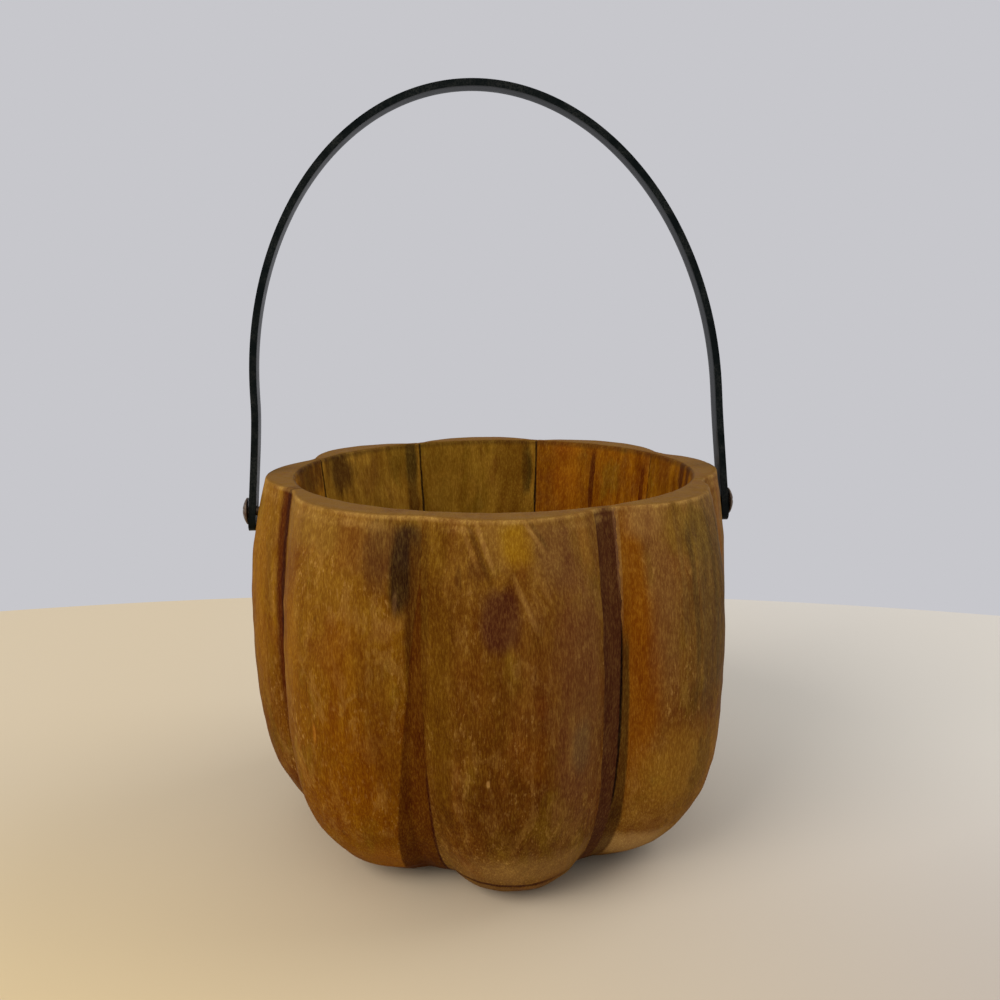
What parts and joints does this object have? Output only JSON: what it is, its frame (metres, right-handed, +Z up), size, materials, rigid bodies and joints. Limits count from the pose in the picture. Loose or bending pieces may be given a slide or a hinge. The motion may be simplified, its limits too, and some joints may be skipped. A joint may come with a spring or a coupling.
{
  "type": "pail",
  "caption": "Small round wooden pail carved from thick lobed staves, with an open top and an arched steel strap bail that swings on screws.",
  "frame": {"origin": "middle of the footprint, at the height of the ground that the foot stands on", "axes": "+Z up, +X to the right along the bail's hinge axis, -Y towards the front"},
  "size_m": [0.2245, 0.22, 0.3325],
  "materials": {
    "stained_wood": "satin",
    "floor_wood": "matte",
    "black_steel": "satin",
    "screw_steel": "aged"
  },
  "bodies": {
    "body": {"stave_front": "stained_wood", "stave_front_right": "stained_wood", "stave_right": "stained_wood", "stave_rear_right": "stained_wood", "stave_rear": "stained_wood", "stave_rear_left": "stained_wood", "stave_left": "stained_wood", "stave_front_left": "stained_wood", "floor_board": "floor_wood", "pivot_screw_right": "screw_steel", "pivot_screw_left": "screw_steel"},
    "bail": {"bail": "black_steel"}
  },
  "joints": [
    {"name": "bail_swing", "type": "hinge", "parent": "body", "child": "bail", "pos_m": [0, 0, 0.146], "axis": [1, 0, 0], "range_deg": [-90, 101]}
  ]
}
